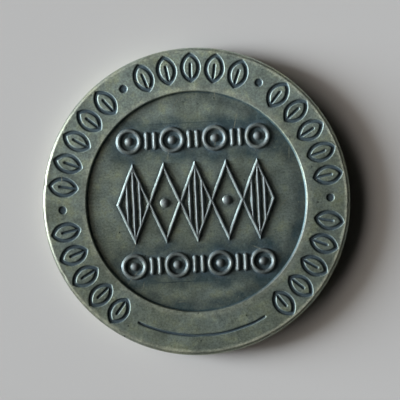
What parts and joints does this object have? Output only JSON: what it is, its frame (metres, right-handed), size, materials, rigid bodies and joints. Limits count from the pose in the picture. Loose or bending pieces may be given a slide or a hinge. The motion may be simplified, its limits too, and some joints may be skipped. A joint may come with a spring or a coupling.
{
  "type": "vending token",
  "caption": "Coin-sized struck brass token: a flat border of incised leaves round a sunk field with raised ridged lozenges and rings, dropped in a slot to pay.",
  "frame": {"origin": "middle of the reverse, in the plane of the reverse rim that the token lies on", "axes": "+Z out of the obverse, +Y towards the top of the design, +X to the right of it"},
  "size_m": [0.03, 0.03, 0.0018],
  "materials": {
    "brass": "struck brass, aged olive grey, dark toning in the strokes and round the relief"
  },
  "bodies": {
    "root": {"token": "brass"}
  },
  "joints": []
}
